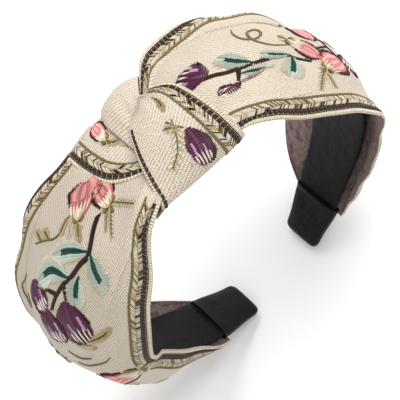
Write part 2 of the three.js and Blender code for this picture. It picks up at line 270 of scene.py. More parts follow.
# How each wing lies at stations along its arm, in mm. heights are the ribbon's heights over the
# core's line at the front shoulder, between it and the middle, at the middle, between the middle
# and the back shoulder, and at the back shoulder. front and back are the overhangs past the
# core: length, slope where each leaves the shoulder and slope at its edge, in degrees inwards.
LEFT_STATIONS = [
    # at, heights, front, back
    (6, (4.4, 5.4, 5.6, 5.4, 4.2), (2.4, 14, 44), (2.0, 20, 40)),
    (14, (5.2, 6.0, 5.8, 5.2, 3.8), (2.8, 20, 50), (3.0, 20, 50)),
    (21, (3.4, 5.2, 6.0, 5.2, 3.4), (5.6, 30, 50), (5.0, 10, 70)),
    (30, (2.5, 4.8, 6.2, 5.4, 3.4), (10.2, 34, 50), (8.0, -4, 80)),
    (42, (2.2, 4.9, 6.8, 6.2, 3.8), (13.4, 36, 50), (10.0, -2, 95)),
    (54, (2.0, 5.2, 7.6, 7.0, 4.2), (16.0, 39, 48), (11.5, 2, 105)),
    (66, (1.8, 5.4, 8.0, 7.4, 4.6), (17.0, 41, 54), (13.0, -6, 110)),
    (80, (1.6, 5.4, 8.6, 8.4, 6.2), (17.0, 42, 75), (13.0, -6, 110)),
    (96, (1.4, 5.2, 8.8, 9.2, 7.6), (19.0, 42, 112), (13.0, -4, 110)),
    (114, (1.4, 4.6, 7.6, 8.4, 7.2), (18.5, 46, 122), (13.0, 0, 105)),
    (130, (1.6, 3.6, 5.4, 5.6, 4.2), (16.0, 52, 110), (12.0, 10, 95)),
    (146, (1.8, 2.8, 3.8, 3.6, 2.4), (11.0, 60, 92), (9.0, 35, 80)),
    (158, (1.8, 2.3, 2.8, 2.6, 1.8), (4.5, 50, 70), (4.5, 45, 60)),
    (166, (1.5, 1.8, 2.0, 1.8, 1.5), (0.8, 40, 40), (0.8, 40, 40)),
]
RIGHT_STATIONS = [
    (6, (4.0, 5.6, 7.0, 8.4, 8.8), (1.0, 20, 30), (2.0, 10, 20)),
    (12, (3.6, 5.2, 6.8, 8.0, 8.2), (1.0, 22, 30), (3.0, 10, 20)),
    (17, (3.2, 5.0, 6.8, 7.4, 6.4), (1.2, 24, 30), (4.5, 6, 16)),
    (22, (2.8, 4.8, 6.8, 6.8, 5.0), (1.4, 26, 30), (7.0, 2, 10)),
    (28, (2.4, 4.6, 6.8, 6.6, 4.6), (1.8, 28, 32), (8.4, -2, 8)),
    (36, (2.2, 4.9, 7.0, 6.8, 4.4), (4.2, 32, 40), (9.6, -8, 20)),
    (47, (2.0, 5.0, 7.2, 7.0, 4.0), (8.0, 34, 48), (11.6, -10, 80)),
    (60, (2.0, 5.2, 7.4, 7.0, 3.4), (10.0, 26, 34), (12.5, -8, 100)),
    (75, (2.0, 5.4, 7.6, 7.2, 3.6), (11.0, 18, 26), (13.0, -7, 100)),
    (90, (2.0, 5.4, 7.4, 7.0, 3.6), (11.5, 6, 16), (13.0, -3, 80)),
    (101, (2.0, 5.0, 7.0, 6.6, 3.4), (13.0, 18, 46), (13.0, 0, 50)),
    (113, (1.9, 4.6, 6.4, 6.0, 3.2), (15.5, 28, 60), (13.0, 2, 25)),
    (128, (1.8, 4.0, 5.4, 5.2, 2.8), (17.0, 38, 62), (13.5, 4, 12)),
    (147, (1.8, 2.9, 3.8, 3.6, 2.2), (14.0, 44, 66), (14.0, 5, 12)),
    (158, (1.8, 2.3, 2.8, 2.6, 1.8), (6.0, 44, 60), (7.5, 20, 35)),
    (166, (1.5, 1.8, 2.0, 1.8, 1.5), (0.8, 40, 40), (0.8, 40, 40)),
]
# Near the knot the ribbon is gathered: (distance, share of its spread) on each side that shows.
LEFT_GATHERS = {
    "front": [(6, 0.84), (9, 0.93), (12, 1), (20, 1)],
    "back": [(6, 1), (20, 1)],
}
RIGHT_GATHERS = {
    "front": [(6, 1), (20, 1)],
    "back": [(6, 0.42), (10, 0.5), (12, 0.58), (15, 0.78), (18, 0.92), (23, 1)],
}
FRONT_CURL = 1.0
BACK_CURL = 2.2
SHOULDER_GAP = 1.2


def overhang(length, start, end, curl, count=12):
    """Steps (across, inwards) of an arc of that length, from one slope to another. It turns
    evenly where curl is 1, and mostly near its edge where curl is more."""
    share = ((np.arange(count) + 0.5) / count) ** curl
    slope = np.radians(start[:, None] + (end - start)[:, None] * share)
    step = length[:, None] / count
    return np.cumsum(np.cos(slope) * step, 1), np.cumsum(np.sin(slope) * step, 1)


def wing_lines(stations, gathers, along):
    """The ribbon's cross-section at each distance along: (across, out) points, front to back."""
    stops = [row[0] for row in stations]
    heights = smooth_line(stops, [row[1] for row in stations], along)
    front = smooth_line(stops, [row[2] for row in stations], along)
    back = smooth_line(stops, [row[3] for row in stations], along)
    shoulder = lining_half(along) + SHOULDER_GAP
    middle_y = shoulder[:, None] * np.array([-1, -0.55, 0, 0.55, 1])
    front_y, front_in = overhang(*front.T, FRONT_CURL)
    back_y, back_in = overhang(*back.T, BACK_CURL)
    across = np.concatenate([
        (-shoulder[:, None] - front_y)[:, ::-1], middle_y, shoulder[:, None] + back_y], 1)
    out = np.concatenate([
        (heights[:, :1] - front_in)[:, ::-1], heights, heights[:, -1:] - back_in], 1)
    for side, way in (("front", -1), ("back", 1)):
        stops, shares = zip(*gathers[side])
        spread = smooth_line(stops, shares, along)[:, None]
        across = np.where(across * way > 0, across * spread, across)
    return across, out


def even_rows(across, out, b):
    """Each row of points as a smooth line, with a point for each place b of the flat ribbon.
    The borders keep their width, and the middle gathers where there is too little room."""
    rows, points = across.shape
    fine = np.linspace(0, points - 1, 10 * points)
    stops = np.arange(points)
    half = RIBBON_WIDTH / 2
    result = np.zeros((rows, len(b), 2))
    for row in range(rows):
        line = smooth_line(stops, np.stack([across[row], out[row]], -1), fine)
        length = run_along(line)
        kept = min(1.0, length[-1] / FULL_SPREAD)
        inner = length[-1] / 2 - BORDER_WIDTH * kept
        place = np.where(np.abs(b) > half - BORDER_WIDTH,
                         length[-1] / 2 - (half - np.abs(b)) * kept,
                         np.abs(b) * inner / (half - BORDER_WIDTH))
        place = length[-1] / 2 + np.sign(b) * place
        result[row, :, 0] = np.interp(place, length, line[:, 0])
        result[row, :, 1] = np.interp(place, length, line[:, 1])
    return result


# A pleat's fold line runs from its place across at the hoop's middle, with a drift per mm along.
# Its front layer lies depth over its back layer and rises over it, and fades between two places.
RIGHT_PLEATS = [(-27.8, 0.35, 3.4, 1.3, 44, 60)]


def pleat(line_points, along, b, pleats):
    across = line_points[..., 0].copy()
    out = line_points[..., 1].copy()
    for place, drift, depth, rise, start, end in pleats:
        fade = (1 - smoothstep(along, start, end))[:, None]
        offset = b[None, :] - (place + drift * along)[:, None]
        front = 1 / (1 + np.exp(np.clip(offset / (0.22 * depth), -40, 40)))
        reach = np.exp(-np.abs(offset) / 9)
        across += fade * depth * (front - 0.5) * reach
        out += fade * rise * front * reach
    return np.stack([across, out], -1)


def wrinkles(along, b, amount, seed):
    """Soft random swells, in mm, over the whole sheet."""
    maker = random.Random(seed)
    swell = np.zeros((len(along), len(b)))
    for _ in range(14):
        length = maker.uniform(16, 48)
        turn = maker.uniform(-0.7, 0.7)
        phase = maker.uniform(0, 2 * math.pi)
        wave = (along[:, None] * math.cos(turn) + b[None, :] * math.sin(turn)) * 2 * math.pi / length
        swell += np.sin(wave + phase) * maker.uniform(0.3, 1.0)
    return swell * amount / 4


def wing_sheet(side, stations, gathers, start, end, pleats, seed):
    along = np.arange(start, end + 0.01, 1.0)
    b = np.linspace(-RIBBON_WIDTH / 2, RIBBON_WIDTH / 2, 145)
    lines = even_rows(*wing_lines(stations, gathers, along), b)
    lines = pleat(lines, along, b, pleats)
    swell = wrinkles(along, b, 0.6, seed)
    fade = smoothstep(along, start, start + 14) * (1 - smoothstep(along, end - 22, end - 4))
    points = hoop(side, along[:, None], lines[..., 0], lines[..., 1])
    sheet = Sheet(along, b, points)
    if side < 0:
        sheet.flip()
    points = points + sheet.normals * (swell * fade[:, None])[..., None]
    sheet = Sheet(along, b, points)
    return sheet.flip() if side < 0 else sheet


# ---- The knot's three wraps ----

# Each wrap runs from the knot's middle over the crown's edge and under to the inner band,
# between two edge lines of (x, y, z) points. Its middle stands proud of the edges by bulge.
FRONT_WRAP = {
    "left": [(11.2, 6.4, 17), (6, 3.7, 16.5), (2.1, 1.9, 16), (-1.5, -3, 14), (-4.2, -7.6, 12),
             (-6.6, -13, 9.4), (-8.6, -17.8, 6.4), (-9.8, -18, 3.4), (-9.8, -16.6, 1.6)],
    "right": [(11.7, 6.9, 17), (17.3, 5.3, 16.5), (22, 1.1, 15.5), (24.1, -6.5, 13.5),
              (25.1, -13.9, 10), (25.2, -18.4, 6), (25.1, -20.2, 1.5), (24.8, -19.2, -2.2),
              (24, -17, -4)],
    "bulge": [0, 0.8, 1.6, 2.4, 2.6, 2.2, 1.2, 0.6, 0.2],
    "width": 30,
}
BACK_WRAP = {
    "left": [(-1.6, -1.6, 12.5), (-1.7, 4.4, 13), (-1.9, 11.8, 12), (-0.4, 17.6, 9.8),
             (0.2, 20.8, 5.6), (0.4, 20.2, 2.2), (0.6, 18, 0.8)],
    "right": [(11.5, 7.3, 15.4), (13.2, 10.2, 14.4), (15.4, 14.3, 12.4), (16.6, 17.6, 9),
              (16.4, 19.6, 4.5), (15.8, 19.4, 1), (15, 17.4, -0.8)],
    "bulge": [0.4, 1.8, 2.6, 2.6, 1.8, 0.8, 0.2],
    "width": 18,
}
LOWER_WRAP = {
    "left": [(0, -9.5, 9), (-5, -8.4, 9.4), (-10.8, -5, 9), (-15.4, 0.4, 8.2), (-17.7, 9.2, 7.2),
             (-18.4, 17.8, 5.4), (-18.3, 20.8, 1.6), (-17.8, 19.6, -1.6), (-17, 17, -2.6)],
    "right": [(3, -3, 10), (1, 1, 10.8), (0.5, 5, 11), (1, 9.6, 10.4), (1.4, 14.6, 9), (1.6, 19, 6),
              (1.8, 20.2, 2.6), (1.8, 19.2, 0.6), (1.8, 17, -0.2)],
    "bulge": [0, 0.4, 1.4, 2, 2, 1.5, 0.8, 0.4, 0.2],
    "width": 20,
}


def even_edge(points, count):
    stops = np.arange(len(points))
    return smooth_line(stops, points, np.linspace(0, len(points) - 1, count))


def wrap_sheet(wrap, seed):
    rows, columns = 96, 48
    left = even_edge(wrap["left"], rows)
    right = even_edge(wrap["right"], rows)
    share = np.linspace(0, 1, columns)
    flat = left[:, None] * (1 - share[None, :, None]) + right[:, None] * share[None, :, None]
    middle = flat[:, columns // 2]
    length = run_along(middle)
    b = share * wrap["width"]
    base = Sheet(length, b, flat)
    if base.normals[rows // 3, :, 2].mean() < 0:
        base.flip()
    stops = np.arange(len(wrap["bulge"]))
    bulge = smooth_line(stops, wrap["bulge"], np.linspace(0, len(stops) - 1, rows))
    crown = (1 - (2 * share - 1) ** 2) ** 0.8
    gathers = np.sin(share * 17 + seed) * 0.35 * (1 - smoothstep(length, 0, 16))[:, None]
    lift = bulge[:, None] * crown[None] + gathers * np.sin(share * math.pi)
    sheet = Sheet(length, b, flat + base.normals * lift[..., None])
    return sheet.flip() if base.handed < 0 else sheet


front_wrap = wrap_sheet(FRONT_WRAP, 1)
back_wrap = wrap_sheet(BACK_WRAP, 2)
lower_wrap = wrap_sheet(LOWER_WRAP, 4)
left_wing = wing_sheet(-1, LEFT_STATIONS, LEFT_GATHERS, 5, 166, [], 3)
right_wing = wing_sheet(1, RIGHT_STATIONS, RIGHT_GATHERS, 6, 166, RIGHT_PLEATS, 5)

# The front wrap's second layer turns in under its border by a depth and ends over the right wing.
FOLD_DEPTH = 2.6
FOLD_CLEARANCE = 1.1
FOLD_WIDTH = 6.0


def fold_under(wrap, below):
    """The layer that turns in at the wrap's last edge and goes down to the ribbon below it."""
    edge = wrap.points[:, -1] - wrap.normals[:, -1] * RIBBON_THICKNESS
    inward = np.array([-1.0, 0.3, 0.0]) * FOLD_DEPTH
    ground_points = below.points.reshape(-1, 3)
    away = np.linalg.norm(ground_points[None, :, :2] - (edge + inward)[:, None, :2], axis=-1)
    top = np.where(away < 1.5, ground_points[None, :, 2], -1e3).max(1)
    drop = np.clip(edge[:, 2] - top - FOLD_CLEARANCE, 0.8, 7)
    drop[top < -100] = 0.8
    drop = np.convolve(np.pad(drop, 4, mode="edge"), np.ones(9) / 9, "valid")
    share = np.linspace(0, 1, 9)
    turn = np.sin(share * math.pi / 2)[None] * smoothstep(wrap.a, 0, 6)[:, None]
    points = edge[:, None] + inward * turn[..., None]
    points[..., 2] -= drop[:, None] * share**1.3
    fold = Sheet(wrap.a, wrap.b[-1] + share * FOLD_WIDTH, points)
    return fold.flip() if fold.normals[..., 0].mean() < 0 else fold


front_fold = fold_under(front_wrap, right_wing)

# ---- Stitches: raised strokes that lie on a sheet ----

STROKE_SHAPE = np.array([-1, -0.72, -0.3, 0.3, 0.72, 1])


def strokes(data, sheet, spines, widths, height, slot, turned=False):
    """Adds N raised strokes. spines is N x M x 2 places on the cloth, widths N x M."""
    spines = np.asarray(spines, float)
    if spines.ndim == 2:
        spines = spines[None]
    count, steps = spines.shape[:2]
    widths = np.maximum(np.broadcast_to(np.asarray(widths, float), (count, steps)), 0.04)
    along = unit(np.gradient(spines, axis=1))
    side = np.stack([-along[..., 1], along[..., 0]], -1)
    spread = STROKE_SHAPE[None, None, :, None] * (widths / 2)[..., None, None] * side[:, :, None]
    place = spines[:, :, None] + spread
    rise = np.sqrt(np.maximum(1 - STROKE_SHAPE**2, 0))
    fullest = widths.max(axis=1, keepdims=True)
    top = height * rise[None, None] * np.sqrt(widths / fullest)[..., None]
    points = sheet.place(place[..., 0], place[..., 1], RIBBON_THICKNESS / 2 - 0.04 + top)
    length = np.concatenate([np.zeros((count, 1)), np.cumsum(
        np.linalg.norm(np.diff(spines, axis=1), axis=-1), axis=1)], 1)
    across = STROKE_SHAPE[None, None] * (widths / 2)[..., None]
    uv = np.stack([np.repeat(length[..., None], len(STROKE_SHAPE), 2), across], -1)
    if turned:
        uv = uv[..., ::-1]
    columns = len(STROKE_SHAPE)
    ring = grid_faces(steps, columns, wrap=True)
    first = np.arange(columns)
    last = first[::-1] + (steps - 1) * columns
    if sheet.handed > 0:
        ring = ring[:, ::-1]
    else:
        first, last = first[::-1], last[::-1]
    offsets = (np.arange(count) * steps * columns)[:, None, None]
    slots = np.broadcast_to(np.asarray(slot), (count,))
    points, uv = points.reshape(-1, 3), uv.reshape(-1, 2)
    sides = (ring[None] + offsets).reshape(-1, 4)
    data.add(points, sides, uv, np.repeat(slots, len(ring)))
    caps = (np.stack([first, last])[None] + offsets).reshape(-1, columns)
    data.more_faces(caps, points, uv, np.repeat(slots, 2))


def spine(points, steps=24):
    """A smooth line through a few places on the cloth, as M evenly shared points."""
    points = np.asarray(points, float)
    if len(points) == 2:
        return points[0] + (points[1] - points[0]) * np.linspace(0, 1, steps)[:, None]
    chord = run_along(points)
    return smooth_line(chord, points, np.linspace(0, chord[-1], steps))


# Thread colours, in the order of the embroidery's material slots.
CREAM, GOLD, OLIVE, BROWN, CORAL, BLUSH, PLUM, LILAC, MINT, TEAL = range(10)

# ---- The woven border ----

# Its lines, in mm in from the ribbon's edge.
SELVEDGE = (0.1, 1.6)
CORD_AT = 2.5
CORD_WIDTH = 1.35
CORD_PITCH = 1.7
CORD_TURN = 1.38
BRAID_LINE_AT = 3.3
BRAID = (3.45, 6.5)
BRAID_PITCH = 0.56
BRAID_SLANT = 1.5
BRAID_WIDTH = 0.46
BRAID_FLECKS = [CREAM, CREAM, CREAM, CREAM, GOLD, GOLD, OLIVE, BROWN]
OLIVE_AT = 7.05
OLIVE_PITCH = 1.5
OLIVE_LENGTH = 1.34
EDGE_LINE = 0.3


def border(data, sheet, start, end, edge, way, share=1.0, parts="scbo"):
    """Sews the border along an edge of a sheet. edge is its place across, way +1 or -1 inwards and
    share its scale. parts are the selvedge s, the cord c, the braid b and the olive line o."""
    def line(a, offset):
        return np.stack([a, edge + way * offset * share + 0 * a], -1)

    def thread(offset, width, height, slot, step):
        a = np.linspace(start, end, max(int((end - start) / step), 4))
        strokes(data, sheet, line(a, offset), width * share + 0 * a, height, slot)

    def dashes(offset, pitch, length, width, height, slot):
        base = np.arange(start + 0.2, end - length, pitch)
        step = np.linspace(0, 1, 6)
        widths = width * share * np.clip(np.sin(step * math.pi) * 6, 0.86, 1)[None]
        strokes(data, sheet, line(base[:, None] + length * step, offset), widths, height, slot)

    if "s" in parts:
        middle, width = sum(SELVEDGE) / 2, SELVEDGE[1] - SELVEDGE[0]
        thread(middle, width, 0.2, GOLD, 0.8)
        dashes(middle, 0.9, 0.66, width * 0.86, 0.34, CREAM)
        thread(SELVEDGE[1], EDGE_LINE, 0.3, BROWN, 0.8)
    if "c" in parts:
        dashes(CORD_AT, CORD_PITCH, CORD_TURN, CORD_WIDTH, 0.5, BROWN)
    if "o" in parts:
        dashes(OLIVE_AT, OLIVE_PITCH, OLIVE_LENGTH, 0.95, 0.4, OLIVE)
    if "b" in parts:
        base = np.arange(start + 0.4, end - BRAID_SLANT - 0.4, BRAID_PITCH)
        step = np.linspace(0, 1, 5)
        middle = sum(BRAID) / 2
        maker = np.random.default_rng(11)
        for first, last in ((BRAID[0], middle), (BRAID[1], middle)):
            slots = maker.choice(BRAID_FLECKS, len(base))
            a = base[:, None] + BRAID_SLANT * step
            offset = first + (last - first) * step[None] + 0 * a
            widths = BRAID_WIDTH * np.array([0.7, 1, 1, 1, 0.5]) * share
            strokes(data, sheet, line(a, offset), widths, 0.34, slots)
        thread(BRAID_LINE_AT, EDGE_LINE, 0.3, BROWN, 0.9)


# ---- Flowers, leaves and berries ----


def lens(steps, sharp=0.8):
    return np.sin(np.clip(np.linspace(0, 1, steps), 0.03, 0.97) * math.pi) ** sharp


def direction(angle):
    return np.array([math.cos(math.radians(angle)), math.sin(math.radians(angle))])


def satin_stitch(data, sheet, rib, half, bands, slant, pitch=0.58, ragged=0.0):
    """Fills the two sides of a rib with slanting threads. half is the shape's half width along
    the rib. bands are (side, from, to, first, last, colour): side is 1, -1 or 0 for both, from and
    to are shares of the half width, and first and last shares of the way along the rib."""
    rib = np.asarray(rib, float)
    run = run_along(rib)
    tangent = unit(np.gradient(rib, axis=0))
    at = np.arange(pitch * 0.3, run[-1], pitch)
    foot = np.stack([np.interp(at, run, rib[:, k]) for k in (0, 1)], -1)
    ahead = np.stack([np.interp(at, run, tangent[:, k]) for k in (0, 1)], -1)
    wide = np.interp(at, run, half)
    lean = math.radians(slant)
    step = np.linspace(0, 1, 5)
    maker = random.Random(len(at))
    jitter = np.array([1 + ragged * maker.uniform(-1, 1) for _ in at])
    for side, start, end, first, last, slot in bands:
        for way in ((1, -1) if side == 0 else (side,)):
            kept = (at >= first * run[-1]) & (at <= last * run[-1]) & (wide > 0.22)
            if not kept.any():
                continue
            normal = np.stack([-ahead[:, 1], ahead[:, 0]], -1) * way
            thread = (normal * math.cos(lean) + ahead * math.sin(lean)) * (wide * jitter)[:, None]
            reach = start + (end - start) * step
            lines = foot[:, None] + thread[:, None] * reach[None, :, None]
            thickness = 0.94 if start < 0.6 else 0.76
            widths = pitch * thickness * np.array([0.7, 1, 1, 1, 0.5])
            strokes(data, sheet, lines[kept], widths, 0.5 + 0.12 * start, slot)


def stem(data, sheet, points, width, slot):
    line = spine(points, 40)
    half = width * 0.62 * np.linspace(1, 0.5, 40)
    satin_stitch(data, sheet, line, half, [(1, -0.9, 0.9, 0, 1, slot)], slant=38, pitch=0.62)


def leaf(data, sheet, base, tip, width, light=MINT, dark=TEAL, bend=0.05):
    """A dark heart, a light body round it, and pale threads at its ragged edge."""
    base, tip = np.asarray(base, float), np.asarray(tip, float)
    run = tip - base
    side = np.array([-run[1], run[0]])
    rib = spine([base, (base + tip) / 2 + side * bend, tip], 40)
    half = width * 0.56 * lens(40, 0.55)
    fringe = CREAM if dark == TEAL else light
    satin_stitch(data, sheet, rib, half, [
        (0, 0.62, 1.16, 0.1, 0.98, fringe), (0, 0.26, 0.72, 0.02, 0.94, light),
        (0, 0.0, 0.34, 0.0, 0.74, dark)], slant=26, pitch=0.66, ragged=0.16)


def fan(data, sheet, base, angle, spread, length, width, slots, height):
    """Threads that leave one place side by side, as in a petal or a bud."""
    count = len(slots)
    for number, slot in enumerate(slots):
        share = number / (count - 1) - 0.5
        turn = angle + spread * share
        reach = length * (1 - 0.55 * share * share)
        start = np.asarray(base, float) + 0.12 * length * direction(turn + 90) * share
        middle = start + reach * 0.55 * direction(turn)
        end = start + reach * direction(turn - spread * share * 0.35)
        line = spine([start, middle, end], 10)
        strokes(data, sheet, line, width * lens(10, 0.55), height, slot, turned=True)


def bud_shape(base, tip, width, bend):
    """A bud's foot, its way to the tip and to its left, its bent rib and its half width along it."""
    base, tip = np.asarray(base, float), np.asarray(tip, float)
    run = tip - base
    side = np.array([-run[1], run[0]]) / np.linalg.norm(run)
    rib = spine([base, base + run * 0.5 + side * width * bend, tip], 40)
    return base, run, side, rib, width * 0.56 * np.clip(lens(40, 0.5) * (1 + bend), 0, 1)


def streaks(data, sheet, shares, place, steps, thickness):
    """Pale threads up a bud, each at a share of its width. place gives a thread's two ends."""
    for share in shares:
        line = spine(place(share), steps)
        strokes(data, sheet, line, thickness * lens(steps), 0.8, CREAM, turned=True)


def berry(data, sheet, base, tip, width):
    """A plum berry of slanting threads, with a dark side, lit streaks and a pale foot."""
    base, run, side, rib, half = bud_shape(base, tip, width, 0.06)
    satin_stitch(data, sheet, rib, half, [
        (0, 0.0, 1.0, 0, 1, PLUM), (1, 0.84, 1.14, 0.02, 0.92, BROWN), (-1, 0.9, 1.12, 0, 0.5, BROWN),
        (-1, 0.4, 0.7, 0.3, 0.7, LILAC), (1, 0.2, 0.45, 0.45, 0.8, LILAC)], slant=15, ragged=0.05)
    streaks(data, sheet, (-0.36, -0.18, 0.0, 0.18, 0.34), lambda share: [
        base + run * (0.6 + 0.5 * share**2) + side * share * width,
        base + run * (1.04 - 0.9 * share**2) + side * share * width * 0.8], 6, 0.8)


def rosebud(data, sheet, base, tip, width):
    """A coral bud with a dark rim, pale streaks rising from its foot and gold sepals."""
    base, run, side, rib, half = bud_shape(base, tip, width, 0.05)
    size = np.linalg.norm(run)
    angle = math.degrees(math.atan2(run[1], run[0]))
    satin_stitch(data, sheet, rib, half, [
        (0, 0.0, 0.94, 0.04, 1, CORAL), (0, 0.88, 1.12, 0.2, 1, BROWN),
        (0, 0.34, 0.74, 0.42, 0.94, BLUSH), (0, 0.0, 0.16, 0.5, 0.9, BLUSH)], slant=24, ragged=0.06)
    streaks(data, sheet, (-0.34, -0.2, -0.07, 0.07, 0.2, 0.34), lambda share: [
        base + run * (0.06 + 0.9 * share**2) + side * share * width * 0.7,
        base + run * (0.5 + 0.5 * share**2) + side * share * width], 7, 0.9)
    fan(data, sheet, base + run * 0.04, angle, 150, size * 0.3, size * 0.08,
        [OLIVE, GOLD, CREAM, GOLD, OLIVE], 0.9)
    fan(data, sheet, base, angle + 180, 100, size * 0.26, size * 0.08, [GOLD, OLIVE, GOLD], 0.7)


def sprig(data, sheet, points, size):
    """A thin stem with short needles on both sides."""
    line = spine(points, 16)
    strokes(data, sheet, line, 0.45, 0.5, OLIVE)
    for number in range(2, 15, 2):
        ahead = line[min(number + 1, 15)] - line[number - 1]
        turn = math.degrees(math.atan2(ahead[1], ahead[0]))
        for way in (-1, 1):
            reach = size * (1 - 0.4 * number / 15)
            end = line[number] + reach * direction(turn + way * 42)
            strokes(data, sheet, spine([line[number], end], 7), 0.62 * lens(7), 0.5,
                    GOLD if way > 0 else CREAM)


def curl(data, sheet, points, slot=OLIVE, width=0.7):
    strokes(data, sheet, spine(points, 30), width * lens(30, 0.3), 0.5, slot)


# ---- Materials ----


def srgb(red, green, blue):
    def linear(value):
        share = value / 255
        return share / 12.92 if share < 0.04045 else ((share + 0.055) / 1.055) ** 2.4

    return (linear(red), linear(green), linear(blue), 1.0)


class Nodes:
    """A material's node tree, with short ways to add and link its nodes."""

    def __init__(self, name, roughness, sheen=0.0, specular=0.5):
        self.material = bpy.data.materials.new(name)
        self.material.use_nodes = True
        self.tree = self.material.node_tree
        self.shader = self.tree.nodes["Principled BSDF"]
        self.shader.inputs["Roughness"].default_value = roughness
        self.shader.inputs["Sheen Weight"].default_value = sheen
        self.shader.inputs["Specular IOR Level"].default_value = specular

    def add(self, kind, **settings):
        node = self.tree.nodes.new(kind)
        for key, value in settings.items():
            setattr(node, key, value)
        return node

    def put(self, socket, value):
        if isinstance(value, bpy.types.NodeSocket):
            self.tree.links.new(value, socket)
        else:
            socket.default_value = value

    def cloth(self):
        """The place on the cloth in mm, as two sockets."""
        split = self.add("ShaderNodeSeparateXYZ")
        self.put(split.inputs[0], self.add("ShaderNodeUVMap", uv_map="cloth_mm").outputs[0])
        return split.outputs[0], split.outputs[1]

    def math(self, operation, first, second=0.0, third=None):
        node = self.add("ShaderNodeMath", operation=operation)
        self.put(node.inputs[0], first)
        self.put(node.inputs[1], second)
        if third is not None:
            self.put(node.inputs[2], third)
        return node.outputs[0]

    def wave(self, place, pitch):
        """A ridge every pitch mm, from 0 to 1."""
        turn = self.math("SINE", self.math("MULTIPLY", place, 2 * math.pi / pitch))
        return self.math("MULTIPLY_ADD", turn, 0.5, 0.5)

    def noise(self, scale, detail=3.0, roughness=0.55, uv=True):
        node = self.add("ShaderNodeTexNoise")
        source = self.add("ShaderNodeUVMap", uv_map="cloth_mm") if uv else self.add(
            "ShaderNodeTexCoord")
        self.put(node.inputs["Vector"], source.outputs[0] if uv else source.outputs["Object"])
        node.inputs["Scale"].default_value = scale
        node.inputs["Detail"].default_value = detail
        node.inputs["Roughness"].default_value = roughness
        return node.outputs[0]

    def blend(self, share, first, second):
        node = self.add("ShaderNodeMix", data_type="RGBA")
        self.put(node.inputs[0], share)
        self.put(node.inputs[6], first)
        self.put(node.inputs[7], second)
        return node.outputs[2]

    def ramp(self, value, stops):
        node = self.add("ShaderNodeValToRGB")
        self.put(node.inputs[0], value)
        elements = node.color_ramp.elements
        while len(elements) < len(stops):
            elements.new(0.5)
        for element, (at, colour) in zip(elements, stops):
            element.position = at
            element.color = colour
        return node.outputs[0]

    def finish(self, colour, height, distance):
        bump = self.add("ShaderNodeBump")
        bump.inputs["Distance"].default_value = distance * MM
        bump.inputs["Strength"].default_value = 1.0
        self.put(bump.inputs["Height"], height)
        self.put(self.shader.inputs["Normal"], bump.outputs[0])
        self.put(self.shader.inputs["Base Color"], colour)
        return self.material


def ground_material():
    nodes = Nodes("jacquard_ground", 0.62, sheen=0.06, specular=0.28)
    u, v = nodes.cloth()
    slant = nodes.math("MULTIPLY", v, 0.55)
    dots = nodes.math("MULTIPLY", nodes.wave(nodes.math("ADD", u, slant), 1.15),
                      nodes.wave(nodes.math("SUBTRACT", v, nodes.math("MULTIPLY", u, 0.4)), 0.72))
    threads = nodes.wave(v, 0.36)
    height = nodes.math("ADD", dots, nodes.math("MULTIPLY", threads, 0.35))
    fine = nodes.noise(1.6, 2.0)
    height = nodes.math("ADD", height, nodes.math("MULTIPLY", fine, 0.5))
    tone = nodes.blend(nodes.noise(0.045, 2.0), srgb(202, 189, 170), srgb(230, 220, 205))
    # Darker where the dotted twill sinks: partly the weave's own dot pattern, partly painted shade in
    # its hollows.
    weave_and_pit_shade = nodes.math("MULTIPLY_ADD", dots, 0.55, nodes.math("MULTIPLY", fine, 0.45))
    colour = nodes.blend(nodes.ramp(weave_and_pit_shade, [(0.12, (0, 0, 0, 1)), (0.42, (1, 1, 1, 1))]),
                         srgb(128, 111, 88), tone)
    return nodes.finish(colour, height, 0.16)


def reverse_material():
    nodes = Nodes("jacquard_reverse", 0.85, sheen=0.05, specular=0.25)
    u, v = nodes.cloth()
    patches = nodes.noise(0.22, 3.0, 0.65)
    colour = nodes.ramp(patches, [
        (0.3, srgb(120, 96, 98)), (0.42, srgb(176, 124, 136)), (0.5, srgb(206, 188, 178)),
        (0.58, srgb(158, 144, 132)), (0.7, srgb(226, 214, 200))])
    twill = nodes.wave(nodes.math("ADD", u, nodes.math("MULTIPLY", v, 1.6)), 1.1)
    fibres = nodes.noise(2.6, 2.0)
    shade = nodes.math("MULTIPLY", twill, fibres)
    colour = nodes.blend(nodes.math("MULTIPLY_ADD", shade, 0.9, 0.3), srgb(62, 50, 52), colour)
    return nodes.finish(colour, nodes.math("ADD", shade, twill), 0.14)


def thread_material(name, dark, light):
    nodes = Nodes(f"thread_{name}", 0.42, specular=0.2)
    u = nodes.cloth()[0]
    wobble = nodes.math("MULTIPLY_ADD", nodes.noise(0.9, 2.0), 0.5, u)
    ridges = nodes.wave(wobble, 0.5)
    patch = nodes.noise(0.55, 2.0)
    # Lighter on each thread's ridges and darker between them: painted highlight and painted shade,
    # with random patches of tone.
    share = nodes.math("MULTIPLY_ADD", ridges, 0.55, nodes.math("MULTIPLY", patch, 0.6))
    colour = nodes.blend(nodes.ramp(share, [(0.2, (0, 0, 0, 1)), (0.75, (1, 1, 1, 1))]), dark, light)
    return nodes.finish(colour, ridges, 0.2)


def satin_material():
    nodes = Nodes("black_satin", 0.4, specular=0.16)
    u, v = nodes.cloth()
    weave = nodes.math("ADD", nodes.wave(u, 0.5), nodes.wave(v, 0.5))
    slack = nodes.noise(0.11, 3.0)
    height = nodes.math("ADD", nodes.math("MULTIPLY", weave, 0.04), slack)
    colour = nodes.blend(nodes.noise(0.3, 2.0), srgb(4, 4, 5), srgb(12, 11, 14))
    return nodes.finish(colour, height, 1.6)


def plastic_material():
    nodes = Nodes("core_plastic", 0.5, specular=0.45)
    grain = nodes.noise(900, 3.0, uv=False)
    colour = nodes.blend(nodes.noise(60, 2.0, uv=False), srgb(28, 27, 31), srgb(38, 36, 40))
    return nodes.finish(colour, grain, 0.05)


